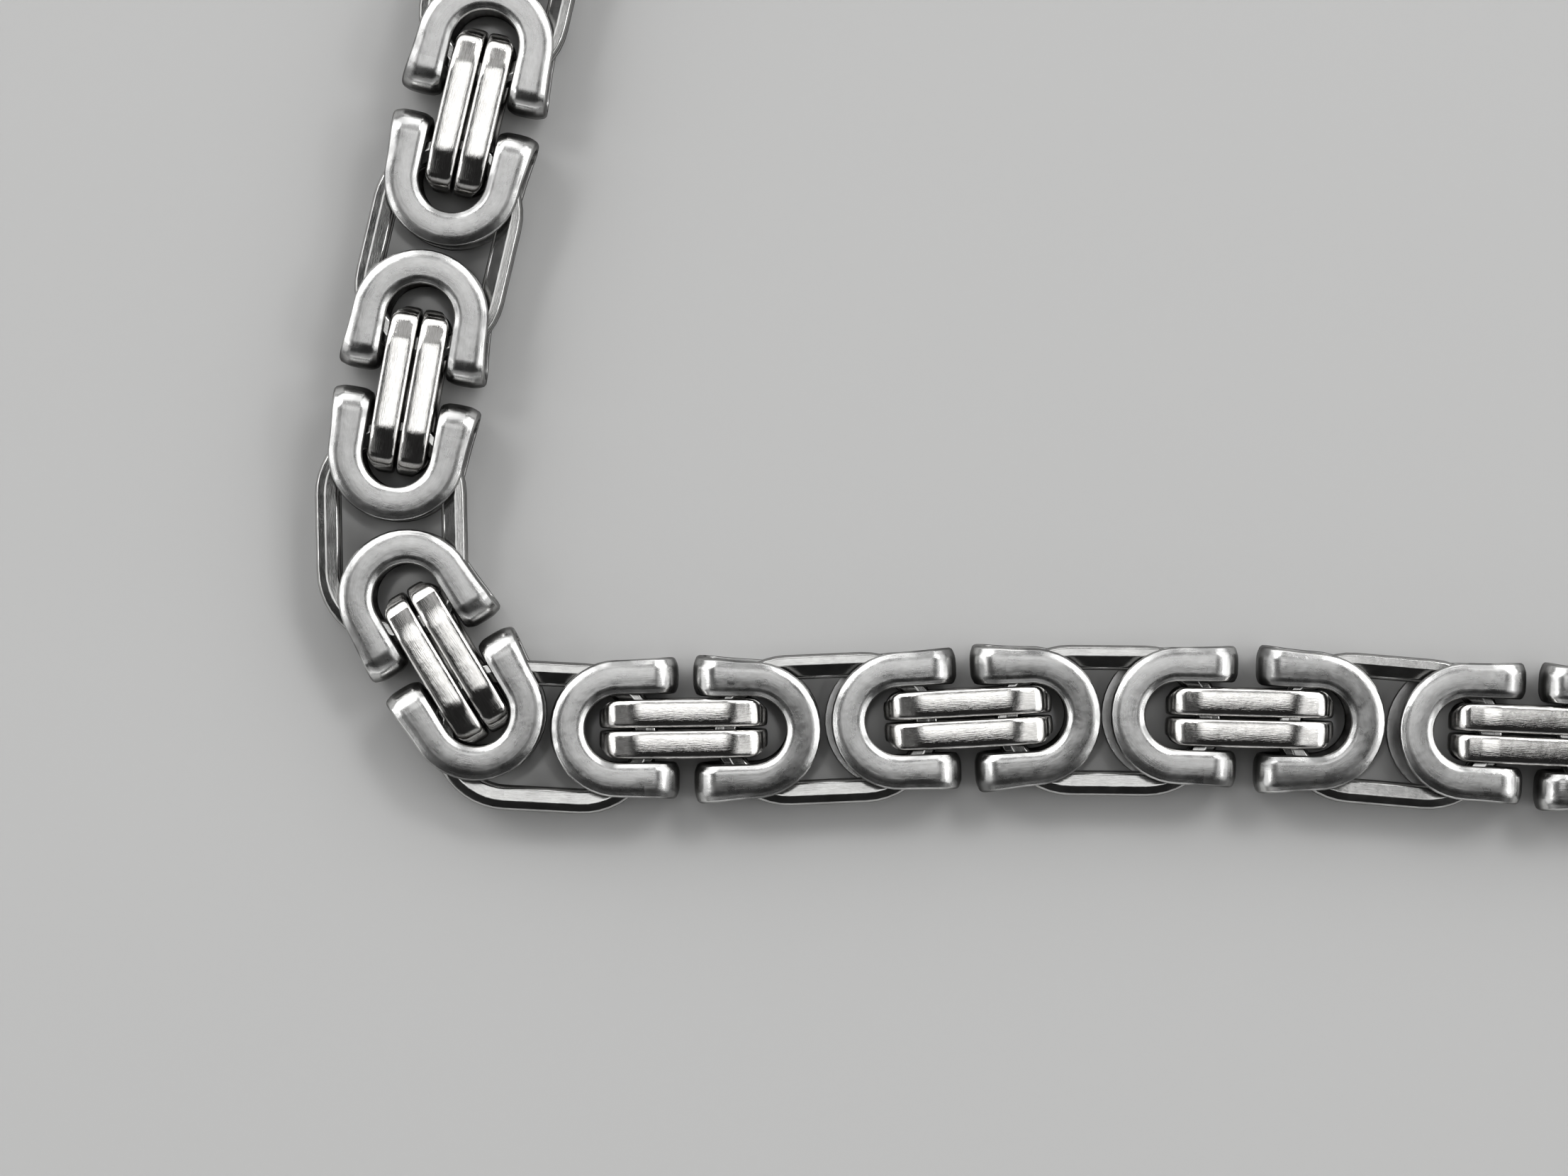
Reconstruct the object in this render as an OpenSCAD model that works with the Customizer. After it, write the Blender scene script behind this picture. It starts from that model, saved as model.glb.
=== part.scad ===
// Flat byzantine neck chain of sheet-steel links, lying closed on a surface.
// Each repeat has two folded clips face to face, two bar links on edge inside them,
// and two stacked rail links that join it to the next repeat.

/* [Chain] */
// Height of the chain as it lies
chain_h = 2.7; // [2.4:0.1:3.4]
// Number of repeats in the whole loop, apart from the clasp
repeats = 40; // [36:1:40]
// Space between the folds of two facing clips
tip_gap = 0.5; // [0.4:0.05:0.7]
// Space between the round ends of two clips back to back
end_gap = 0.45; // [0.4:0.05:0.7]

/* [Clip] */
// Width of a clip over its two legs
clip_w = 6.0; // [5.6:0.1:7]
// Length of a clip from its round end to its folds
clip_l = 5.6; // [5.4:0.1:6.4]
// Width of the flat strip that a clip is cut to
strip_w = 1.5; // [1.3:0.05:1.6]
// Thickness of the strip
plate_t = 0.5; // [0.4:0.05:0.6]
// How far the lower plate reaches past the upper one on the clips that show it
heel = 0.3; // [0.1:0.05:0.35]

/* [Bar link] */
// Thickness of a bar link's metal, seen from the side
bar_t = 0.5; // [0.4:0.05:0.55]
// Space between the two bar links of a repeat
bar_gap = 0.12; // [0.1:0.02:0.3]
// Space between the bar links and the legs of the clips
bar_side_gap = 0.2; // [0.16:0.02:0.36]
// Space between the bar links' ends and the round end of the clip's hole
bar_end_gap = 0.65; // [0.5:0.05:0.8]
// How far the bar links lie below the top of the clips, and above the surface
bar_sink = 0.05; // [0:0.05:0.15]
// Outer radius of a bar link's four corners, seen from the side
bar_r = 0.85; // [0.7:0.05:1]
// Radius of the bar links' outer corners, seen from above
bar_plan_r = 0.9; // [0.6:0.1:1.1]
// Length of the flat middle of a bar link's top
bar_flat_l = 3.9; // [3:0.1:4.5]
// Slope of a bar link's top and bottom outside that flat, in degrees
bar_slope = 12; // [4:1:13]

/* [Rail link] */
// Width of a rail link's metal, seen from above
rail_strip = 1.1; // [1:0.05:1.3]
// How far a rail link stands out past the clips on each side
rail_proud = 0.3; // [0.2:0.05:0.4]
// Space between the two stacked rail links
rail_gap = 0.15; // [0.1:0.05:0.2]
// Space above and below the stacked rail links, inside the bar links
layer_gap = 0.175; // [0.12:0.005:0.2]
// Play between a rail link and the bar link's end that it hooks
hook_play = 0.98; // [0.9:0.02:1.1]

/* [Clasp] */
// Length that the clasp adds to the loop
clasp_l = 14; // [12:1:18]
// Width of the clasp's body
clasp_w = 5.4; // [5:0.1:6]
// Space between the clasp's body and the round ends of the clips
clasp_gap = 1.2; // [1:0.1:2]
// Radius of the clasp body's corners, seen from above
clasp_corner_r = 1.3; // [0.8:0.1:2]
// Radius of the clasp body's long edges
clasp_edge_r = 0.8; // [0.4:0.1:1.1]
// Width of the two loops of the clasp
clasp_loop_w = 5.8; // [5.6:0.1:6]

/* [Hidden] */
$fn = 64;

// Directions in which the route leaves the photographed stretch and comes back to it, in degrees
leave_dir = 0;
return_dir = 257;

// How the photographed repeats lie, one row for each, in the order of the chain.
// Columns of a row: heading of the repeat in degrees, tip gap as a share of tip_gap,
// slide of the bar links as a share of bar_end_gap, lower heel as a share of heel,
// then for the rail links after it: heading in degrees, end gap as a share of end_gap,
// and the shift along, shift to the side (shares of bar_end_gap) and turn in degrees
// that rail links take in a sharp bend.
LIE = [
    [256.8, 1.6, 0, 0, 256.8, 0.6, 0, 0, 0],
    [259.8, 1.6, 0.35, 0, 274.2, 0.8, 0.38, -0.84, -3],
    [301, 1.26, 0.6, 0, 353.1, 0.75, -0.1, -1.13, 4],
    [360.7, 1.24, -0.21, 0.55, 362.4, 1.06, -0.04, -0.31, 0],
    [362.9, 1.18, 0.15, 1, 359.4, 1, 0.19, -0.36, 0],
    [358.6, 1.54, 0.2, 1, 355.2, 1.42, 0.01, -0.36, 0],
    [357.5, 1.14, 0.13, 1, 0, 1, 0, 0, 0]
];

// Sizes that follow from those above
hole_w = clip_w - 2 * strip_w;
repeat_l = 2 * clip_l + tip_gap;
spread = repeat_l - clip_w;
pitch = repeat_l + end_gap;
bar_l = repeat_l - 2 * strip_w - 2 * bar_end_gap;
bar_w = (hole_w - bar_gap) / 2 - bar_side_gap;
bar_h = chain_h - 2 * bar_sink;
stack_h = chain_h - 2 * max(plate_t, bar_sink + bar_t) - 2 * layer_gap;
rail_t = (stack_h - rail_gap) / 2;
rail_half_w = clip_w / 2 + rail_proud;
rail_half_l = pitch / 2 - (bar_l / 2 - bar_t) + hook_play + rail_strip;
clasp_body_l = clasp_l + end_gap - 2 * clasp_gap;
clasp_half_l = rail_half_l + clasp_l / 2;

// Vector helpers
function along(angle, distance) = distance * [cos(angle), sin(angle)];
function heading(a, b) = atan2(b[1] - a[1], b[0] - a[0]);
function cross_of(a, b) = a[0] * b[1] - a[1] * b[0];

// Photographed stretch: pivots at the round ends' centres, worked out row by row from the first
shown = len(LIE);
function shown_spread(i) = 2 * clip_l + tip_gap * LIE[i][1] - clip_w;
function shown_join(i) = clip_w + end_gap * LIE[i][5];
function shown_start(i) = i == 0
    ? [0, 0]
    : shown_end(i - 1) + along(LIE[i - 1][4], shown_join(i - 1));
function shown_end(i) = shown_start(i) + along(LIE[i][0], shown_spread(i));

// Hidden stretch: straight on, round one large arc and straight back, with its length set by the repeats
hidden = repeats - shown;
hidden_l = hidden * spread + (hidden + 1) * (end_gap + clip_w) + clasp_l;
path_from = shown_end(shown - 1);
path_to = shown_start(0);
leave = along(leave_dir, 1);
return = along(return_dir, 1);
corner_to_from = cross_of(path_from - path_to, return) / cross_of(leave, return);
lead_out = corner_to_from;
lead_in = cross_of(path_from - path_to, leave) / cross_of(leave, return);
arc_turn = return_dir - leave_dir;
arc_angle = arc_turn * PI / 180;
tangent_share = tan((arc_turn - 180) / 2);
tangent_l = (hidden_l + lead_out - lead_in) / (2 + arc_angle * tangent_share);
arc_r = tangent_l * tangent_share;
arc_l = arc_r * arc_angle;
straight_out = tangent_l - lead_out;
arc_centre = path_from + along(leave_dir, straight_out) + along(leave_dir + 90, arc_r);
arc_end = arc_centre + along(return_dir - 90, arc_r);
function path_at(s) = s < straight_out
    ? path_from + along(leave_dir, s)
    : s < straight_out + arc_l
        ? arc_centre + along(leave_dir - 90 + (s - straight_out) / arc_r * 180 / PI, arc_r)
        : arc_end + along(return_dir, s - straight_out - arc_l);

// The clasp sits in the middle of the hidden stretch
before_clasp = ceil(hidden / 2);
function hidden_start(i) = path_at((i + 1) * (end_gap + clip_w) + i * spread
    + (i >= before_clasp ? clasp_l : 0));
function hidden_end(i) = path_at((i + 1) * (end_gap + clip_w + spread)
    + (i >= before_clasp ? clasp_l : 0));

// All repeats in order, from the clasp through the photographed stretch and back to the clasp
after_clasp = hidden - before_clasp;
function is_shown(k) = k >= after_clasp && k < after_clasp + shown;
function hidden_index(k) = k < after_clasp ? before_clasp + k : k - after_clasp - shown;
function start_of(k) = is_shown(k) ? shown_start(k - after_clasp) : hidden_start(hidden_index(k));
function end_of(k) = is_shown(k) ? shown_end(k - after_clasp) : hidden_end(hidden_index(k));
function lie_of(k, column) = is_shown(k) ? LIE[k - after_clasp][column] : 0;
starts = [for (k = [0 : repeats - 1]) start_of(k)];
ends = [for (k = [0 : repeats - 1]) end_of(k)];

// Rail links of join k, between repeat k and repeat k + 1
function join_dir(k) = heading(ends[k], starts[k + 1]);
function rail_dir(k) = join_dir(k) + lie_of(k, 8);
function rail_centre(k) = (ends[k] + starts[k + 1]) / 2
    + along(join_dir(k), bar_end_gap * lie_of(k, 6))
    + along(join_dir(k) + 90, bar_end_gap * lie_of(k, 7));
clasp_centre = (ends[repeats - 1] + starts[0]) / 2;
clasp_dir = heading(ends[repeats - 1], starts[0]);

// The loop's box, from the round ends, the rail links and the clasp, puts the origin at its middle
function reach(angle, half_l, half_w) = (half_l - half_w) * abs(cos(angle)) + half_w;
function lows(axis) = concat(
    [for (p = concat(starts, ends)) p[axis] - clip_w / 2],
    [for (k = [0 : repeats - 2])
        rail_centre(k)[axis] - reach(rail_dir(k) - 90 * axis, rail_half_l, rail_half_w)],
    [clasp_centre[axis] - reach(clasp_dir - 90 * axis, clasp_half_l, clasp_w / 2)]);
function highs(axis) = concat(
    [for (p = concat(starts, ends)) p[axis] + clip_w / 2],
    [for (k = [0 : repeats - 2])
        rail_centre(k)[axis] + reach(rail_dir(k) - 90 * axis, rail_half_l, rail_half_w)],
    [clasp_centre[axis] + reach(clasp_dir - 90 * axis, clasp_half_l, clasp_w / 2)]);
function middle(axis) = (min(lows(axis)) + max(highs(axis))) / 2;
loop_centre = [middle(0), middle(1)];

// The two chain nodes meet at the sharp bend of the photographed stretch
bend_row = 2;
last_left = after_clasp + bend_row;

// Outlines

module obround(half_l, half_w) {
    translate([half_w - half_l, 0]) circle(half_w);
    translate([half_l - half_w, 0]) circle(half_w);
    square([2 * (half_l - half_w), 2 * half_w], center = true);
}

module rounded_box(l, w, r) {
    square([l - 2 * r, w], center = true);
    square([l, w - 2 * r], center = true);
    for (x = [-1, 1], y = [-1, 1]) {
        translate([x * (l / 2 - r), y * (w / 2 - r)]) circle(r);
    }
}

// A U of strip as the clip shows it from above, open towards +X, round end centred on the origin
module clip_plan(l) {
    leg = l - clip_w / 2;
    difference() {
        union() {
            circle(clip_w / 2);
            translate([0, -clip_w / 2]) square([leg, clip_w]);
        }
        circle(hole_w / 2);
        translate([0, -hole_w / 2]) square([leg + 1, hole_w]);
    }
}

// The folded strip from the side: two plates joined by a half-round fold at the tips
module clip_side() {
    fold_x = clip_l - clip_w / 2 - chain_h / 2;
    back = clip_w;
    difference() {
        union() {
            translate([-back, 0]) square([back + fold_x, chain_h]);
            translate([fold_x, chain_h / 2]) circle(chain_h / 2);
        }
        translate([-back - 1, plate_t]) square([back + 1 + fold_x, chain_h - 2 * plate_t]);
        translate([fold_x, chain_h / 2]) circle(chain_h / 2 - plate_t);
    }
}

// Links

module clip(lower_heel) {
    color([0.66, 0.66, 0.66]) intersection() {
        union() {
            linear_extrude(chain_h) clip_plan(clip_l);
            if (lower_heel > 0) {
                translate([-lower_heel, 0, 0]) linear_extrude(plate_t) clip_plan(clip_l);
            }
        }
        rotate([90, 0, 0]) linear_extrude(clip_w + 1, center = true) clip_side();
    }
}

// A bar link's side outline: a flat middle that slopes down to rounded ends, above and below
module bar_side() {
    flat = bar_flat_l / 2;
    end_h = bar_h / 2 - (bar_l / 2 - flat) * tan(bar_slope);
    difference() {
        intersection() {
            rounded_box(bar_l, bar_h, bar_r);
            polygon([
                [-flat, bar_h / 2], [flat, bar_h / 2],
                [bar_l / 2, end_h], [bar_l / 2, -end_h],
                [flat, -bar_h / 2], [-flat, -bar_h / 2],
                [-bar_l / 2, -end_h], [-bar_l / 2, end_h]
            ]);
        }
        rounded_box(bar_l - 2 * bar_t, bar_h - 2 * bar_t, bar_r - bar_t);
    }
}

module bar_link(side) {
    pair_w = 2 * bar_w + bar_gap;
    color([0.85, 0.85, 0.84]) intersection() {
        translate([0, side * (bar_gap + bar_w) / 2, bar_sink + bar_h / 2])
            rotate([90, 0, 0]) linear_extrude(bar_w, center = true) bar_side();
        linear_extrude(chain_h) rounded_box(bar_l, pair_w, bar_plan_r);
    }
}

module rail_link() {
    color([0.75, 0.75, 0.74]) linear_extrude(rail_t) difference() {
        obround(rail_half_l, rail_half_w);
        obround(rail_half_l - rail_strip, rail_half_w - rail_strip);
    }
}

// A repeat: two clips face to face and the two bar links inside them
module repeat_links(k) {
    from = starts[k] - loop_centre;
    to = ends[k] - loop_centre;
    turn = heading(from, to);
    translate([from[0], from[1], 0]) rotate(turn) clip(heel * lie_of(k, 3));
    translate([to[0], to[1], 0]) rotate(turn + 180) clip(0);
    middle_of = (from + to) / 2 + along(turn, bar_end_gap * lie_of(k, 2));
    translate([middle_of[0], middle_of[1], 0]) rotate(turn) {
        for (side = [-1, 1]) bar_link(side);
    }
}

// The two stacked rail links after repeat k
module join_links(k) {
    centre = rail_centre(k) - loop_centre;
    stack_z = (chain_h - stack_h) / 2;
    translate([centre[0], centre[1], stack_z]) rotate(rail_dir(k)) {
        for (layer = [0, 1]) translate([0, 0, layer * (rail_t + rail_gap)]) rail_link();
    }
}

module chain_left() {
    for (k = [0 : last_left]) {
        repeat_links(k);
        join_links(k);
    }
}

module chain_right() {
    for (k = [last_left + 1 : repeats - 1]) repeat_links(k);
    for (k = [last_left + 1 : repeats - 2]) join_links(k);
}

// A plain closed clasp: a rounded body on a flat loop whose ends hook the last bar links
module clasp() {
    centre = clasp_centre - loop_centre;
    loop_half_w = clasp_loop_w / 2;
    color([0.78, 0.78, 0.77]) translate([centre[0], centre[1], 0]) rotate(clasp_dir) {
        intersection() {
            linear_extrude(chain_h) rounded_box(clasp_body_l, clasp_w, clasp_corner_r);
            rotate([90, 0, 90]) translate([0, chain_h / 2])
                linear_extrude(clasp_body_l + 1, center = true)
                    rounded_box(clasp_w, chain_h, clasp_edge_r);
        }
        translate([0, 0, (chain_h - stack_h) / 2]) linear_extrude(stack_h) difference() {
            obround(clasp_half_l, loop_half_w);
            obround(clasp_half_l - rail_strip, loop_half_w - rail_strip);
        }
    }
}

chain_left();
chain_right();
clasp();
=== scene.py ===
# Flat byzantine neck chain, lying closed on a pale floor. Every link of the two chain nodes is
# modelled again here with worn edges and folds, and the clasp keeps its CAD mesh.
import math

import bpy
import numpy as np
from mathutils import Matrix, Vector


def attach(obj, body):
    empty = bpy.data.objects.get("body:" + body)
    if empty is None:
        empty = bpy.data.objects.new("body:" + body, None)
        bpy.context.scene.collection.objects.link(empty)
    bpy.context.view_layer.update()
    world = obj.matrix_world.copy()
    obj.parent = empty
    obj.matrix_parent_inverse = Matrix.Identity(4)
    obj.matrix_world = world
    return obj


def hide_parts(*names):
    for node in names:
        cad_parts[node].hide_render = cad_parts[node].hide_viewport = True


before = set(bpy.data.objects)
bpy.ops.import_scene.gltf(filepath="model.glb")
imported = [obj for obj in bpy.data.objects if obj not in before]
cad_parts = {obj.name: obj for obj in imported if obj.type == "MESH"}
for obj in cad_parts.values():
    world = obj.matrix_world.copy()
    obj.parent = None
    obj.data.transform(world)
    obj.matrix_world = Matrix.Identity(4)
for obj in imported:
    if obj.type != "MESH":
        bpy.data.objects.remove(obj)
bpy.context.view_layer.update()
MM = 0.001

# Sizes in mm, as in the part's source
CHAIN_H = 2.7
CLIP_W, CLIP_L, STRIP_W, PLATE_T, HEEL = 6.0, 5.6, 1.5, 0.5, 0.3
TIP_GAP, END_GAP = 0.5, 0.45
REPEATS, CLASP_L = 40, 14.0
BAR_T, BAR_GAP, BAR_SIDE, BAR_END, BAR_SINK = 0.5, 0.12, 0.2, 0.65, 0.05
RAIL_STRIP, RAIL_PROUD, RAIL_GAP, LAYER_GAP, HOOK_PLAY = 1.1, 0.3, 0.15, 0.175, 0.98
LEAVE_DIR, RETURN_DIR = 0.0, 257.0

# How the photographed repeats lie: the columns are named below, and the rail links' own
# columns are about the pair after the repeat. Headings and the turn are in degrees, and the
# rest are shares of TIP_GAP, BAR_END, HEEL, END_GAP, BAR_END and BAR_END.
HEADING, TIP, SLIDE, LOWER, RAIL_HEADING, JOIN, RAIL_ALONG, RAIL_SIDE, RAIL_TURN = range(9)
LIE = [
    [256.8, 1.6, 0, 0, 256.8, 0.6, 0, 0, 0],
    [259.8, 1.6, 0.35, 0, 274.2, 0.8, 0.38, -0.84, -3],
    [301, 1.26, 0.6, 0, 353.1, 0.75, -0.1, -1.13, 4],
    [360.7, 1.24, -0.21, 0.55, 362.4, 1.06, -0.04, -0.31, 0],
    [362.9, 1.18, 0.15, 1, 359.4, 1, 0.19, -0.36, 0],
    [358.6, 1.54, 0.2, 1, 355.2, 1.42, 0.01, -0.36, 0],
    [357.5, 1.14, 0.13, 1, 0, 1, 0, 0, 0],
]
PLAIN = [0] * 9
BEND_ROW = 2

HOLE_W = CLIP_W - 2 * STRIP_W
REPEAT_L = 2 * CLIP_L + TIP_GAP
SPREAD = REPEAT_L - CLIP_W
BAR_L = REPEAT_L - 2 * STRIP_W - 2 * BAR_END
BAR_W = (HOLE_W - BAR_GAP) / 2 - BAR_SIDE
BAR_H = CHAIN_H - 2 * BAR_SINK
STACK_H = CHAIN_H - 2 * max(PLATE_T, BAR_SINK + BAR_T) - 2 * LAYER_GAP
RAIL_T = (STACK_H - RAIL_GAP) / 2
RAIL_HW = CLIP_W / 2 + RAIL_PROUD
RAIL_HL = (REPEAT_L + END_GAP) / 2 - (BAR_L / 2 - BAR_T) + HOOK_PLAY + RAIL_STRIP

# Looks of the links that only the scene has, in mm and degrees
FOLD_R = 1.15
FLARE, HEEL_FLARE = 0.24, 0.1
CLIP_LIFT = 0.03
BAR_FLAT, BAR_SLOPE, BAR_EASE, BAR_PLAN_R, BAR_MAX_CUT = 2.0, 15, 0.45, 0.75, 0.42
BAR_CROWN = 3.4
ARC_POINTS = 23
JITTER, RNG_SEED = 0.35, 11
UV_SHIFT = (7.31, 3.17)

# How the two clips of each shown repeat lean, about their own length and width
LEVEL = ((0, 0), (0, 0))
LEANS = [LEVEL] * 3 + [
    ((-1.2, -1.0), (-1.8, 0.4)),
    ((-1.2, -1.2), (-2.0, 0.6)),
    ((-1.0, -1.2), (-2.0, 0.4)),
    ((-0.8, -1.0), (-1.6, 0.4)),
]


# The route, worked out as in the part's source

def along(angle, distance=1.0):
    a = math.radians(angle)
    return distance * np.array([math.cos(a), math.sin(a)])


def cross(a, b):
    return a[0] * b[1] - a[1] * b[0]


def heading(a, b):
    return math.degrees(math.atan2(b[1] - a[1], b[0] - a[0]))


def shown_route():
    starts, ends = [], []
    p = np.zeros(2)
    for row in LIE:
        starts.append(p)
        p = p + along(row[HEADING], 2 * CLIP_L + TIP_GAP * row[TIP] - CLIP_W)
        ends.append(p)
        p = p + along(row[RAIL_HEADING], CLIP_W + END_GAP * row[JOIN])
    return starts, ends


def route():
    """Start and end of each repeat, in order from the clasp, and the row of LIE that it has."""
    shown_s, shown_e = shown_route()
    hidden = REPEATS - len(LIE)
    step = END_GAP + CLIP_W
    total = hidden * SPREAD + (hidden + 1) * step + CLASP_L
    p0, p1 = shown_e[-1], shown_s[0]
    leave, back = along(LEAVE_DIR), along(RETURN_DIR)
    lead_out = cross(p0 - p1, back) / cross(leave, back)
    lead_in = cross(p0 - p1, leave) / cross(leave, back)
    turn = math.radians(RETURN_DIR - LEAVE_DIR)
    share = math.tan((turn - math.pi) / 2)
    tangent = (total + lead_out - lead_in) / (2 + turn * share)
    r = tangent * share
    straight = tangent - lead_out
    centre = p0 + along(LEAVE_DIR, straight) + along(LEAVE_DIR + 90, r)
    arc_end = centre + along(RETURN_DIR - 90, r)

    def at(s):
        if s < straight:
            return p0 + along(LEAVE_DIR, s)
        if s < straight + r * turn:
            return centre + along(LEAVE_DIR - 90 + math.degrees((s - straight) / r), r)
        return arc_end + along(RETURN_DIR, s - straight - r * turn)

    before = math.ceil(hidden / 2)
    hid = []
    for i in range(hidden):
        s = (i + 1) * step + i * SPREAD + (CLASP_L if i >= before else 0)
        hid.append((at(s), at(s + SPREAD)))
    shown = list(zip(shown_s, shown_e))
    order = hid[before:] + shown + hid[:before]
    lie = [None] * (hidden - before) + LIE + [None] * before
    return order, lie


order, lie = route()
AFTER = next(i for i, row in enumerate(lie) if row)
LAST_LEFT = AFTER + BEND_ROW
clasp_dir = heading(order[-1][1], order[0][0])

# Centre and heading of the rail links at each join
rails = []
for k in range(REPEATS - 1):
    a, b = order[k][1], order[k + 1][0]
    d = heading(a, b)
    row = lie[k] or PLAIN
    c = (a + b) / 2 + along(d, BAR_END * row[RAIL_ALONG]) + along(d + 90, BAR_END * row[RAIL_SIDE])
    rails.append((c, d + row[RAIL_TURN]))

# The source puts the origin at the middle of the loop's box, which the clasp doesn't reach
lows, highs = [], []
for axis in (0, 1):
    lo, hi = [], []
    for a, b in order:
        lo += [a[axis] - CLIP_W / 2, b[axis] - CLIP_W / 2]
        hi += [a[axis] + CLIP_W / 2, b[axis] + CLIP_W / 2]
    for c, d in rails:
        reach = (RAIL_HL - RAIL_HW) * abs(math.cos(math.radians(d - 90 * axis))) + RAIL_HW
        lo.append(c[axis] - reach)
        hi.append(c[axis] + reach)
    lows.append(min(lo))
    highs.append(max(hi))
ORIGIN = (np.array(lows) + np.array(highs)) / 2


# Sweeps: a cross-section carried along a closed path, with exact normals

def unit(v):
    return v / np.linalg.norm(v)


def crowned_section(w, t, power, n):
    """Closed superellipse of n points, w wide and t thick, with its normals."""
    pts, nrm = [], []
    for i in range(n):
        a = 2 * math.pi * (i + 0.5) / n
        c, s = math.cos(a), math.sin(a)
        x = math.copysign(abs(c) ** (2 / power), c)
        y = math.copysign(abs(s) ** (2 / power), s)
        pts.append((x * w / 2, y * t / 2))
        nx = math.copysign(abs(x) ** (power - 1), c) / w
        ny = math.copysign(abs(y) ** (power - 1), s) / t
        nrm.append(unit(np.array([nx, ny])))
    return np.array(pts), np.array(nrm)


def profile_section(knots):
    """Closed outline through (across, up, radius, steps) corners, each rounded, with normals."""
    n = len(knots)
    pts, nrm = [], []
    for i in range(n):
        p = np.array(knots[i][:2], float)
        a = np.array(knots[i - 1][:2], float) - p
        b = np.array(knots[(i + 1) % n][:2], float) - p
        la, lb = np.linalg.norm(a), np.linalg.norm(b)
        a, b = a / la, b / lb
        turn = math.pi - math.acos(np.clip(a @ b, -1, 1))
        r, steps = knots[i][2:]
        if turn > 1e-4:
            r = min(r, 0.49 * min(la, lb) / math.tan(turn / 2))
        start = p + a * r * math.tan(turn / 2)
        na = np.array([-a[1], a[0]])
        nb = np.array([b[1], -b[0]])
        for k in range(steps + 1):
            f = k / steps
            v = unit(na * (1 - f) + nb * f)
            pts.append(start - na * r + v * r)
            nrm.append(v)
    return np.array(pts), np.array(nrm)


def lengths(line):
    """Length along a closed line up to each of its points, and last all the way round."""
    steps = np.linalg.norm(np.diff(np.vstack([line, line[:1]]), axis=0), axis=1)
    return np.concatenate([[0], np.cumsum(steps)])


def sweep(centres, wide, thick, section, normals, painted_shade, scale_w=1.0, scale_t=1.0):
    """Vertices, normals, quads, uv, and painted shade and wear, of a section carried along a
    closed path. At each centre its width runs along wide and its thickness along thick.
    painted_shade gives each section point's painted shade."""
    centres, wide, thick = (np.asarray(a, float) for a in (centres, wide, thick))
    n, m = len(centres), len(section)
    sw, st = (np.broadcast_to(np.asarray(a, float), n) for a in (scale_w, scale_t))
    v = (centres[:, None] + wide[:, None] * (section[None, :, :1] * sw[:, None, None])
         + thick[:, None] * (section[None, :, 1:] * st[:, None, None]))
    nn = wide[:, None] * normals[None, :, :1] + thick[:, None] * normals[None, :, 1:]
    i = np.arange(n)[:, None]
    j = np.arange(m)[None]
    i2, j2 = (i + 1) % n, (j + 1) % m
    quads = np.stack([i * m + j, i2 * m + j, i2 * m + j2, i * m + j2], -1).reshape(-1, 4)
    s, p, grid = lengths(centres), lengths(section), np.zeros((n, m))
    u = np.stack([grid + s[q] for q in (i, i + 1, i + 1, i)], -1)
    w = np.stack([grid + p[q] for q in (j, j, j + 1, j + 1)], -1)
    uv = np.stack([u, w], -1).reshape(-1, 4, 2)
    v, nn = v.reshape(-1, 3), nn.reshape(-1, 3)
    # the faces point out when the mesh's volume is positive
    a, b, c, d = (v[quads[:, q]] for q in range(4))
    if np.sum(np.cross(c - a, d - b) * (a + b + c + d)) < 0:
        quads, uv = quads[:, ::-1], uv[:, ::-1]
    # walls that stand steep get painted shade, as if shadowed inside the chain, and edges that
    # lean are rubbed bright
    lean = np.abs(nn[:, 2])
    steep_wall_shade = 0.75 * np.clip((0.6 - lean) / 0.25, 0, 1)
    bright = np.clip((0.975 - lean) / 0.08, 0, 1)
    shade_and_wear = np.stack([np.maximum(np.tile(painted_shade, n), steep_wall_shade), bright], 1)
    return v, nn, quads, uv, shade_and_wear


def arc(first, turn):
    """Angles in radians of an arc's points, from first on by turn, both in degrees."""
    return [math.radians(first + turn * i / (ARC_POINTS - 1)) for i in range(ARC_POINTS)]


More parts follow.
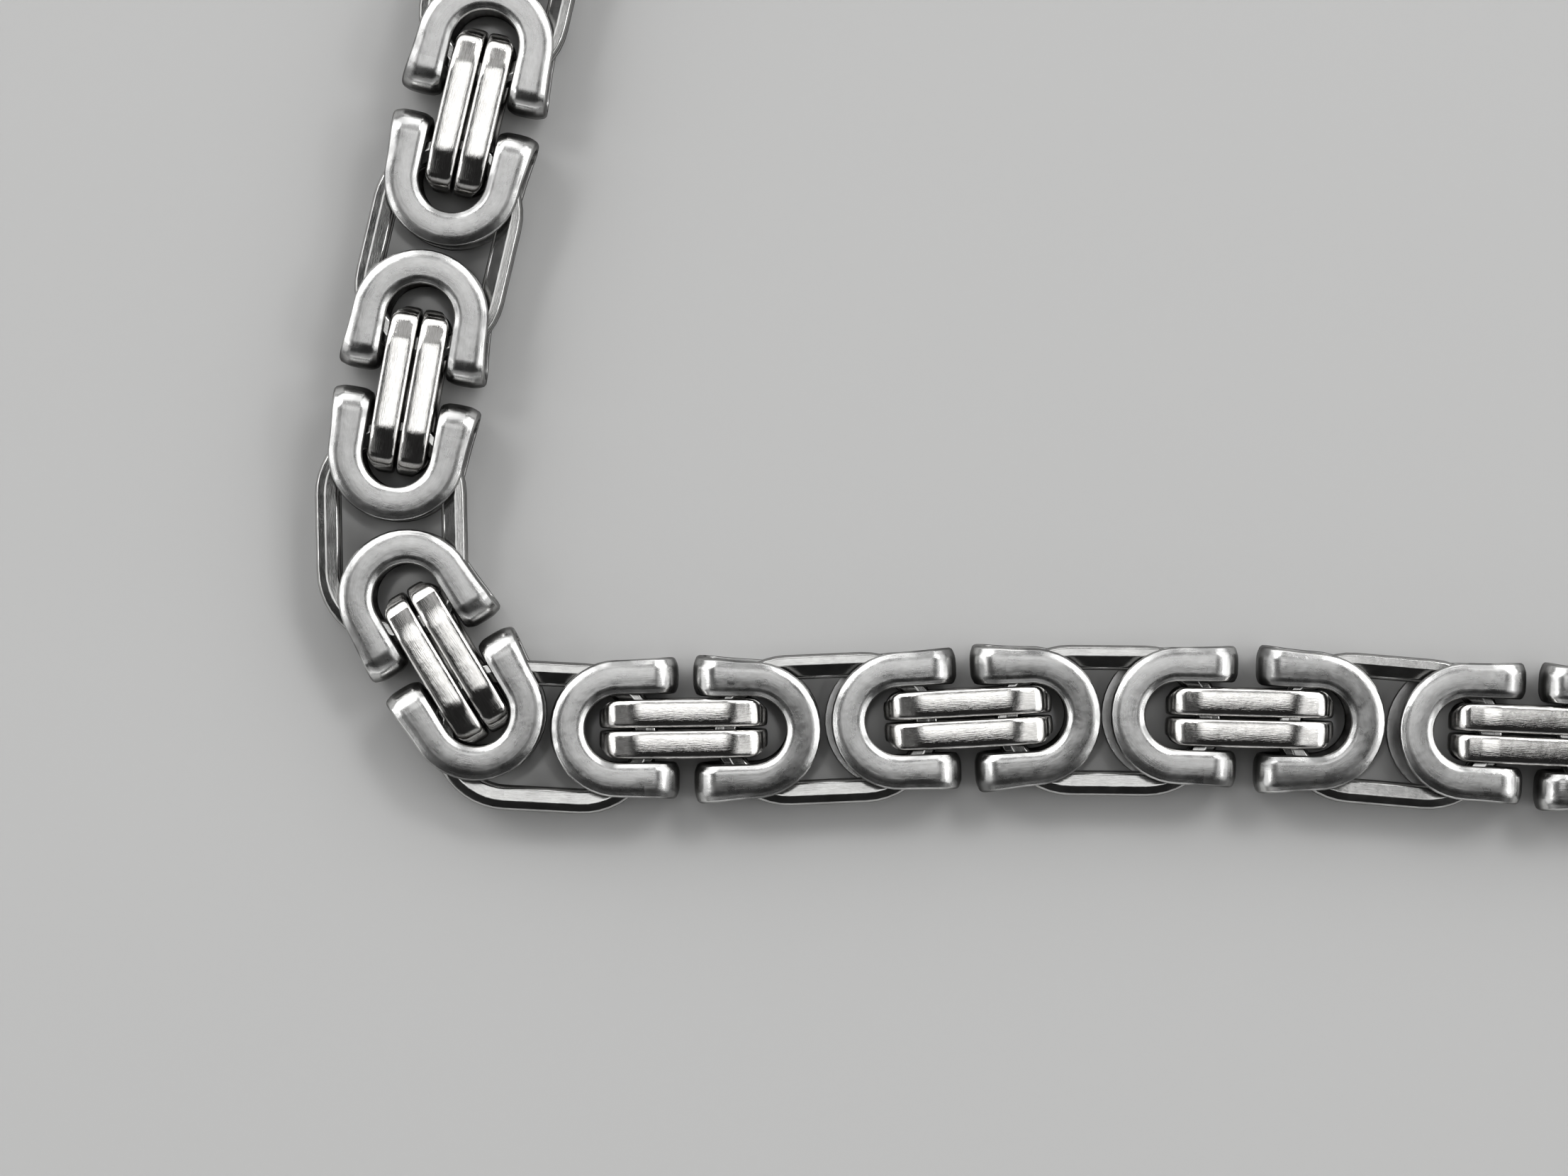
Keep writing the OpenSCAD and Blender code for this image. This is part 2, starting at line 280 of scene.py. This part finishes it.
def clip_mesh(heel, flare):
    """A clip with its round end at the origin, its legs towards +X and its lowest face at 0."""
    r = (CLIP_W - STRIP_W) / 2
    half = CHAIN_H / 2
    rise = half - PLATE_T / 2
    corner = FOLD_R - PLATE_T / 2
    tip = CLIP_L - CLIP_W / 2 - PLATE_T / 2
    fold_x = tip - corner
    centres, wide, thick = [], [], []

    def plate(z, up, round_x):
        """One plate's U, from the fold of one leg round to the fold of the other."""
        for x in np.linspace(fold_x, round_x, 5)[1:-1]:
            centres.append((x, -up * r, z))
            wide.append((0, -up, 0))
            thick.append((0, 0, up))
        for a in arc(-90 * up, -180 * up):
            centres.append((round_x + r * math.cos(a), r * math.sin(a), z))
            wide.append((math.cos(a), math.sin(a), 0))
            thick.append((0, 0, up))
        for x in np.linspace(round_x, fold_x, 5)[1:-1]:
            centres.append((x, up * r, z))
            wide.append((0, up, 0))
            thick.append((0, 0, up))

    def fold(side):
        """The fold of one leg, downwards at +Y and upwards at -Y."""
        turned = [math.pi / 2 * i / 5 for i in range(6)]
        rows = [(a, rise - corner) for a in turned]
        rows += [(math.pi - a, corner - rise) for a in reversed(turned)]
        for a, z in rows if side > 0 else reversed(rows):
            x = fold_x + corner * math.sin(a)
            centres.append((x, side * r, half + z + corner * math.cos(a)))
            wide.append((0, side, 0))
            thick.append((math.sin(a), 0, math.cos(a)))

    plate(CHAIN_H - PLATE_T / 2, 1, 0.0)
    fold(1)
    plate(PLATE_T / 2, -1, -heel)
    fold(-1)
    # worn legs stand a little apart towards their tips
    c = np.array(centres, float)
    spread = flare * (np.clip(c[:, 0], 0, None) / tip) ** 1.3
    c[:, 1] += np.sign(c[:, 1]) * spread / 2
    # across the strip from its outer edge: a slightly crowned face with worn bevels
    sec, nrm = profile_section([
        (0.75, -0.25, 0.05, 1), (0.75, 0.0, 0.08, 2), (0.69, 0.1, 0.12, 2),
        (0.41, 0.222, 0.8, 4), (0.0, 0.25, 3.5, 2), (-0.47, 0.23, 0.5, 3),
        (-0.70, 0.105, 0.1, 2), (-0.75, 0.0, 0.08, 2), (-0.75, -0.25, 0.05, 1),
    ])
    # painted shade on the inner face, and on the inner edge, where the chain shades itself
    painted_shade = np.clip(0.1 - sec[:, 1] / 0.25, 0, 1) * np.clip((0.6 - sec[:, 0]) / 0.5, 0, 1)
    painted_shade += np.where(sec[:, 0] < -0.72, 0.5, 0.0)
    return sweep(c, wide, thick, sec, nrm, np.clip(painted_shade, 0, 1), 1 + spread / STRIP_W)


def bar_mesh():
    """A closed bar link on edge in X and Z, with its outer side at +Y: a flat top that turns down
    into a sloping facet at each end, then a rounded corner and the end leg, and the same below."""
    half_l, half_h = BAR_L / 2, BAR_H / 2
    slope = math.radians(BAR_SLOPE)
    fall = math.tan(slope)
    end_r = half_h - (half_l - BAR_FLAT) * fall
    end_r /= math.cos(slope) - (1 - math.sin(slope)) * fall
    # a quarter of the side outline as (x, z, angle of the normal from straight up)
    q = [(x, half_h, 0.0) for x in (0.0, 0.9, BAR_FLAT - BAR_EASE)]
    ease_r = BAR_EASE / math.tan(slope / 2)
    for i in range(1, 5):
        a = slope * i / 4
        x = BAR_FLAT - BAR_EASE + ease_r * math.sin(a)
        q.append((x, half_h - ease_r * (1 - math.cos(a)), a))
    x0, z0 = q[-1][:2]
    x1 = half_l - end_r + end_r * math.sin(slope)
    z1 = z0 - (x1 - x0) * fall
    for f in (0.5, 1.0):
        q.append((x0 + (x1 - x0) * f, z0 + (z1 - z0) * f, slope))
    end_z = z1 - end_r * math.cos(slope)
    for i in range(1, 9):
        a = slope + (math.pi / 2 - slope) * i / 8
        q.append((half_l - end_r + end_r * math.sin(a), end_z + end_r * math.cos(a), a))
    right = [(x, z, math.sin(a), math.cos(a)) for x, z, a in q]
    left = [(-x, z, -nx, nz) for x, z, nx, nz in reversed(right[1:])]
    top = left + right
    bottom = [(x, -z, nx, -nz) for x, z, nx, nz in reversed(top)]
    pts = np.array(top + bottom)
    # the wire thins where the facet comes down over the rail links
    out = np.abs(pts[:, 0])
    thin = np.interp(out, [BAR_FLAT, BAR_FLAT + 0.9, half_l - 0.3, half_l],
                     [BAR_T, 0.33, 0.3, 0.36])
    zero = np.zeros(len(pts))
    thick = np.stack([pts[:, 2], zero, pts[:, 3]], 1)
    c = np.stack([pts[:, 0], zero, pts[:, 1]], 1) - thick * thin[:, None] / 2
    # the pair's plan is a rounded rectangle, so each bar narrows on its outer side near its ends
    over = np.clip(out - (half_l - BAR_PLAN_R), 0, None)
    cut = BAR_PLAN_R - np.sqrt(np.clip(BAR_PLAN_R ** 2 - over ** 2, 0, None))
    cut = np.minimum(cut, BAR_MAX_CUT)
    c[:, 1] -= cut / 2
    wide = np.tile([0.0, 1.0, 0.0], (len(pts), 1))
    sec, nrm = crowned_section(BAR_W, BAR_T, BAR_CROWN, 26)
    # painted shade on the inner face, and on both sides, where the chain shades itself
    painted_shade = np.clip(0.1 - nrm[:, 1], 0, 1) + np.where(np.abs(nrm[:, 0]) > 0.93, 0.5, 0.0)
    painted_shade = np.clip(painted_shade, 0, 1)
    return sweep(c, wide, thick, sec, nrm, painted_shade, (BAR_W - cut) / BAR_W, thin / BAR_T)


def rail_mesh():
    """A rail link about the origin, its length along X."""
    hw, hl = RAIL_HW - RAIL_STRIP / 2, RAIL_HL - RAIL_STRIP / 2
    centres, wide = [], []
    for side in (1, -1):
        for a in arc(-90 * side, 180):
            centres.append((side * (hl - hw) + hw * math.cos(a), hw * math.sin(a), 0))
            wide.append((math.cos(a), math.sin(a), 0))
    thick = [(0, 0, 1)] * len(centres)
    # a low roof: a worn bevel on its outer side, at +0.55, and a wide slope on its inner side
    half = [
        (0.55, 0.03, 0.07, 2), (0.525, 0.13, 0.08, 2), (0.44, 0.22, 0.12, 2),
        (0.1, 0.27, 0.3, 2), (-0.40, 0.163, 0.15, 2), (-0.53, 0.03, 0.07, 2),
    ]
    sec, nrm = profile_section(half + [(x, -z, r, k) for x, z, r, k in reversed(half)])
    # painted shade on the inner wall, where the chain shades itself
    painted_shade = np.where(sec[:, 0] < -0.47, 0.9, 0.0)
    return sweep(centres[::-1], wide[::-1], thick, sec, nrm, painted_shade)


def collect(template, poses, seeds):
    """Copies of a template at (x, y, z, turn about Z, tilt about X, tilt about Y), in degrees.
    The seeds shift their uv, so that no two links have the same grain."""
    v0, n0, f0, uv0, shade_and_wear0 = template
    vs, ns, fs, us = [], [], [], []
    for i, ((x, y, z, turn, tx, ty), seed) in enumerate(zip(poses, seeds)):
        a, b, g = math.radians(turn), math.radians(tx), math.radians(ty)
        rz = np.array([[math.cos(a), -math.sin(a), 0], [math.sin(a), math.cos(a), 0], [0, 0, 1]])
        rx = np.array([[1, 0, 0], [0, math.cos(b), -math.sin(b)], [0, math.sin(b), math.cos(b)]])
        ry = np.array([[math.cos(g), 0, math.sin(g)], [0, 1, 0], [-math.sin(g), 0, math.cos(g)]])
        m = rz @ rx @ ry
        vs.append(v0 @ m.T + (x, y, z))
        ns.append(n0 @ m.T)
        fs.append(f0 + i * len(v0))
        us.append(uv0 + (seed * UV_SHIFT[0], seed * UV_SHIFT[1]))
    return np.vstack(vs), np.vstack(ns), np.vstack(fs), np.vstack(us), np.tile(shade_and_wear0, (len(vs), 1))


def make_piece(name, parts, material, node):
    base = 0
    fs = []
    for v, _, f, _, _ in parts:
        fs.append(f + base)
        base += len(v)
    vs, ns, _, us, ws = zip(*parts)
    v, n, f, uv = np.vstack(vs), np.vstack(ns), np.vstack(fs), np.vstack(us)
    me = bpy.data.meshes.new(name)
    me.vertices.add(len(v))
    me.vertices.foreach_set("co", (v * MM).astype(np.float32).ravel())
    me.loops.add(4 * len(f))
    me.loops.foreach_set("vertex_index", f.astype(np.int32).ravel())
    me.polygons.add(len(f))
    me.polygons.foreach_set("loop_start", (np.arange(len(f)) * 4).astype(np.int32))
    me.polygons.foreach_set("loop_total", np.full(len(f), 4, np.int32))
    layer = me.uv_layers.new(name="UVMap")
    layer.data.foreach_set("uv", uv.astype(np.float32).ravel())
    # red is painted shade on inner faces and steep walls, green is a rubbed edge
    shade_and_wear = np.hstack([np.vstack(ws), np.zeros((base, 1)), np.ones((base, 1))])
    colours = me.color_attributes.new(name="shade_and_wear", type="FLOAT_COLOR", domain="POINT")
    colours.data.foreach_set("color", shade_and_wear.astype(np.float32).ravel())
    me.update(calc_edges=True)
    me.polygons.foreach_set("use_smooth", np.ones(len(f), bool))
    me.normals_split_custom_set_from_vertices([tuple(x) for x in n])
    me.materials.append(material)
    ob = bpy.data.objects.new(name, me)
    bpy.context.scene.collection.objects.link(ob)
    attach(ob, "root")
    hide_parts(node)


# Materials

STREAK_TINT = (0.42, 0.38, 0.34)
# near black, the colour of painted shade on inner faces and steep walls
PAINTED_SHADE_COLOUR = (0.022, 0.02, 0.018)
EVEN = (1, 1, 1)


def steel(name, base, rough, streak, bump, blot_bump, dark, rubbed_look=None, grain_turn=None):
    """Worn steel, with painted shade from the red of the shade_and_wear attribute. The grain runs
    along each link's uv, or at grain_turn degrees on a piece that has no uv and no shade_and_wear
    attribute. rubbed_look is the colour of rubbed edges and their share of rough."""
    mat = bpy.data.materials.new(name)
    mat.use_nodes = True
    nt = mat.node_tree
    nt.nodes.clear()
    N, L = nt.nodes.new, nt.links.new
    out = N("ShaderNodeOutputMaterial")
    shader = N("ShaderNodeBsdfPrincipled")
    shader.inputs["Metallic"].default_value = 1.0
    L(shader.outputs[0], out.inputs[0])
    place = N("ShaderNodeTexCoord").outputs["Object"]
    if grain_turn is None:
        lay = N("ShaderNodeUVMap").outputs[0]
    else:
        turned = N("ShaderNodeMapping")
        turned.inputs["Rotation"].default_value = (0, 0, math.radians(-grain_turn))
        turned.inputs["Scale"].default_value = (1 / MM, 1 / MM, 1 / MM)
        L(place, turned.inputs["Vector"])
        lay = turned.outputs[0]

    def feed(socket, value):
        """Sets a socket to a number or a colour, or links an output to it."""
        if isinstance(value, tuple):
            socket.default_value = (*value, 1)
        elif isinstance(value, float):
            socket.default_value = value
        else:
            L(value, socket)

    def noise(src, scale, detail, stretch):
        mp = N("ShaderNodeMapping")
        mp.inputs["Scale"].default_value = stretch
        L(src, mp.inputs["Vector"])
        nz = N("ShaderNodeTexNoise")
        nz.inputs["Scale"].default_value = scale
        nz.inputs["Detail"].default_value = detail
        nz.inputs["Roughness"].default_value = 0.6
        L(mp.outputs[0], nz.inputs["Vector"])
        return nz.outputs["Fac"]

    def ramp(src, from_lo, from_hi, lo, hi):
        r = N("ShaderNodeMapRange")
        r.inputs["From Min"].default_value = from_lo
        r.inputs["From Max"].default_value = from_hi
        r.inputs["To Min"].default_value = lo
        r.inputs["To Max"].default_value = hi
        L(src, r.inputs["Value"])
        return r.outputs[0]

    def mixed(kind, factor, first, second):
        m = N("ShaderNodeMixRGB")
        m.blend_type = kind
        L(factor, m.inputs[0])
        feed(m.inputs[1], first)
        feed(m.inputs[2], second)
        return m.outputs[0]

    def maths(kind, *values):
        m = N("ShaderNodeMath")
        m.operation = kind
        for socket, value in zip(m.inputs, values):
            feed(socket, value)
        return m.outputs[0]

    def bumped(height, strength, distance, normal=None):
        m = N("ShaderNodeBump")
        m.inputs["Strength"].default_value = strength
        m.inputs["Distance"].default_value = distance
        L(height, m.inputs["Height"])
        if normal is not None:
            L(normal, m.inputs["Normal"])
        return m.outputs[0]

    grain = noise(lay, 6.0, 6.0, (0.35, 4.0, 1.0))
    broad = noise(lay, 1.1, 4.0, (0.8, 1.3, 1.0))
    blot = noise(place, 900.0, 3.0, EVEN)
    shaded = tuple(c * dark for c in base)
    colour = mixed("MIX", ramp(broad, 0.36, 0.64, 0.0, 1.0), shaded, base)
    colour = mixed("MULTIPLY", ramp(grain, 0.3, 0.55, 0.35 * streak, 0.0), colour, STREAK_TINT)
    roughness = ramp(broad, 0.3, 0.7, rough * 0.8, rough * 1.2)
    if grain_turn is None:
        vc = N("ShaderNodeVertexColor")
        vc.layer_name = "shade_and_wear"
        split = N("ShaderNodeSeparateColor")
        L(vc.outputs[0], split.inputs[0])
        painted_shade, edge = split.outputs[0], split.outputs[1]
        if rubbed_look:
            # the edges are rubbed in patches and dull between them
            edge_colour, edge_rough = rubbed_look
            patches = ramp(noise(place, 420.0, 2.0, EVEN), 0.42, 0.58, 0.0, 1.0)
            rubbed = maths("MULTIPLY", edge, patches)
            dulled = maths("SUBTRACT", edge, rubbed)
            colour = mixed("MIX", dulled, colour, tuple(c * 0.5 for c in base))
            colour = mixed("MIX", rubbed, colour, edge_colour)
            roughness = maths("MULTIPLY", roughness, ramp(rubbed, 0.0, 1.0, 1.0, edge_rough))
        # painted shade: the attribute's red darkens the colour towards near black, blotched by
        # noise, and roughens it
        painted_shade_blotched = maths("MULTIPLY", painted_shade, ramp(blot, 0.25, 0.6, 0.75, 1.0))
        colour = mixed("MIX", painted_shade_blotched, colour, PAINTED_SHADE_COLOUR)
        roughness = maths("MULTIPLY_ADD", painted_shade_blotched, 0.3, roughness)
    L(colour, shader.inputs["Base Color"])
    L(roughness, shader.inputs["Roughness"])
    normal = bumped(blot, blot_bump, 0.08 * MM, bumped(grain, bump, 0.03 * MM))
    L(normal, shader.inputs["Normal"])
    return mat


clip_mat = steel("clip_steel", (0.64, 0.64, 0.635), rough=0.29, streak=0.5, bump=0.14,
                 blot_bump=0.22, dark=0.75, rubbed_look=((0.78, 0.78, 0.77), 0.65))
bar_mat = steel("bar_steel", (0.93, 0.92, 0.90), rough=0.09, streak=0.9, bump=0.2,
                blot_bump=0.16, dark=0.88)
rail_mat = steel("rail_steel", (0.62, 0.62, 0.61), rough=0.16, streak=0.5, bump=0.1,
                 blot_bump=0.1, dark=0.8)
clasp_mat = steel("clasp_steel", (0.66, 0.655, 0.645), rough=0.24, streak=0.6, bump=0.14,
                  blot_bump=0.03, dark=0.88, grain_turn=clasp_dir)

# The links. Each side draws its seeds once: the clips of the i-th share start at i times
# CLIP_SEEDS, and the bars and rails at their own places.
SEEDS, CLIP_SEEDS, BAR_SEEDS, RAIL_SEEDS = 400, 60, 200, 300
rng = np.random.default_rng(RNG_SEED)
groups = {"left": range(0, LAST_LEFT + 1), "right": range(LAST_LEFT + 1, REPEATS)}
bar, rail = bar_mesh(), rail_mesh()
rail_z = (CHAIN_H - STACK_H) / 2 + RAIL_T / 2
clips = {
    share: clip_mesh(HEEL * share, HEEL_FLARE if share else FLARE)
    for share in (0, 0.55, 1)
}
for side, ks in groups.items():
    clip_poses, bar_poses, rail_poses = {share: [] for share in clips}, [], []
    for k in ks:
        a, b = order[k][0] - ORIGIN, order[k][1] - ORIGIN
        d = heading(a, b)
        row = lie[k] or PLAIN
        j = rng.normal(0, JITTER, 8)
        lean_a, lean_b = LEANS[k - AFTER] if lie[k] else LEVEL
        clip_poses[row[LOWER]].append(
            (a[0], a[1], CLIP_LIFT, d, lean_a[0] + j[0], lean_a[1] + j[1]))
        clip_poses[0].append(
            (b[0], b[1], CLIP_LIFT, d + 180, lean_b[0] + j[2], lean_b[1] + j[3]))
        m = (a + b) / 2 + along(d, BAR_END * row[SLIDE])
        for s, q in ((-1, 4), (1, 6)):
            o = m + along(d + 90, s * (BAR_GAP + BAR_W) / 2)
            turn = d + (0 if s > 0 else 180)
            bar_poses.append((o[0], o[1], CHAIN_H / 2, turn, 0.5 * j[q], 0.5 * j[q + 1]))
        if k < REPEATS - 1:
            c, turn = rails[k]
            c = c - ORIGIN
            for layer in (0, 1):
                rail_poses.append((c[0], c[1], rail_z + layer * (RAIL_T + RAIL_GAP), turn, 0, 0))
    seeds = rng.uniform(0, 100, SEEDS)
    node = "chain_" + side
    parts = [
        collect(clips[share], clip_poses[share], seeds[i * CLIP_SEEDS:])
        for i, share in enumerate(clips) if clip_poses[share]
    ]
    make_piece("clips_" + side, parts, clip_mat, node)
    make_piece("bars_" + side, [collect(bar, bar_poses, seeds[BAR_SEEDS:])], bar_mat, node)
    make_piece("rails_" + side, [collect(rail, rail_poses, seeds[RAIL_SEEDS:])], rail_mat, node)

clasp_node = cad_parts["clasp"]
clasp_node.data.materials.clear()
clasp_node.data.materials.append(clasp_mat)

# Floor, just under the chain, and the world, with its brightness from straight down to up
floor_mat = bpy.data.materials.new("floor")
floor_mat.use_nodes = True
floor_shader = floor_mat.node_tree.nodes["Principled BSDF"]
floor_shader.inputs["Base Color"].default_value = (0.53, 0.53, 0.526, 1)
floor_shader.inputs["Roughness"].default_value = 0.8
bpy.ops.mesh.primitive_plane_add(size=3.0, location=(0, 0, -0.01 * MM))
floor = bpy.context.object
floor.name = "floor"
floor.data.materials.append(floor_mat)

world = bpy.data.worlds.new("studio")
bpy.context.scene.world = world
world.use_nodes = True
wt = world.node_tree
coord = wt.nodes.new("ShaderNodeTexCoord")
split = wt.nodes.new("ShaderNodeSeparateXYZ")
tone = wt.nodes.new("ShaderNodeValToRGB")
wt.links.new(coord.outputs["Generated"], split.inputs[0])
wt.links.new(split.outputs["Z"], tone.inputs[0])
wt.links.new(tone.outputs[0], wt.nodes["Background"].inputs[0])
stops = [(0.0, 0.24), (0.12, 0.18), (0.3, 0.035), (0.7, 0.025), (1.0, 0.025)]
elements = tone.color_ramp.elements
for at, value in stops[1:-1]:
    elements.new(at)
for element, (at, value) in zip(elements, stops):
    element.position = at
    element.color = (value, value, value, 1)

# Light. LOOK is the point at the middle of the photo, in metres
LOOK = (-0.063244, -0.065984, 0.0)


def softbox(name, azimuth, off_zenith, dist, size, radiance, square=False):
    """A lamp seen from LOOK at an azimuth (0 is +X, 90 is +Y) and an angle from straight up.
    Its size is its width across the azimuth and its height, or along X and Y if square."""
    a, z = math.radians(azimuth), math.radians(off_zenith)
    light = bpy.data.lights.new(name, "AREA")
    light.shape = "RECTANGLE"
    light.size, light.size_y = size
    light.energy = radiance * math.pi * size[0] * size[1]
    ob = bpy.data.objects.new(name, light)
    bpy.context.scene.collection.objects.link(ob)
    loc = (
        LOOK[0] + dist * math.sin(z) * math.cos(a),
        LOOK[1] + dist * math.sin(z) * math.sin(a),
        dist * math.cos(z),
    )
    ob.location = loc
    direction = Vector(LOOK) - Vector(loc)
    if square:
        ob.rotation_euler = Vector((0, 0, -1)).rotation_difference(direction).to_euler()
    else:
        ob.rotation_euler = direction.to_track_quat("-Z", "Y").to_euler()


softbox("above", 102.8, 11.3, 1.0, (0.56, 0.5), 1.1, square=True)
softbox("key", 125, 60, 1.2, (2.6, 0.85), 1.3)
softbox("key_back", 38, 58, 1.2, (1.1, 0.9), 1.6)
softbox("right", -12, 62, 1.0, (0.8, 0.6), 1.0)
softbox("left", 190, 68, 1.0, (0.9, 0.6), 0.65)
softbox("front", 265, 80, 1.0, (1.0, 0.16), 0.7)
softbox("front_fill", 268, 66, 1.0, (1.9, 0.4), 0.26)
softbox("card_right", -10, 34, 0.9, (0.6, 0.2), 0.8)
softbox("card_left", 190, 36, 0.9, (0.7, 0.25), 0.16)
softbox("card_back", 95, 33, 1.0, (0.8, 0.24), 0.35)
# narrow bright strips, whose reflections break the bevels' light into short crescents
softbox("strip_left", 135, 47, 1.2, (0.55, 0.2), 5.5)
softbox("strip_back", 50, 47, 1.2, (0.5, 0.2), 6.0)
softbox("strip_right", -6, 50, 1.2, (0.35, 0.16), 4.5)
softbox("strip_west", 186, 50, 1.2, (0.35, 0.16), 3.0)

# Camera, straight above LOOK, so that PHOTO_W mm of the chain's top fill the frame's width
PHOTO_W, CAMERA_DIST, SENSOR_W = 68.4, 170, 36
scene = bpy.context.scene
scene.view_settings.view_transform = "Standard"
scene.view_settings.look = "Medium High Contrast"
cam_data = bpy.data.cameras.new("camera")
cam_data.sensor_width = SENSOR_W
cam_data.lens = SENSOR_W * CAMERA_DIST / PHOTO_W
cam_data.clip_start = 0.005
cam = bpy.data.objects.new("camera", cam_data)
cam.location = (LOOK[0], LOOK[1], (CAMERA_DIST + CHAIN_H) * MM)
cam.rotation_euler = (0, 0, 0)
scene.collection.objects.link(cam)
scene.camera = cam
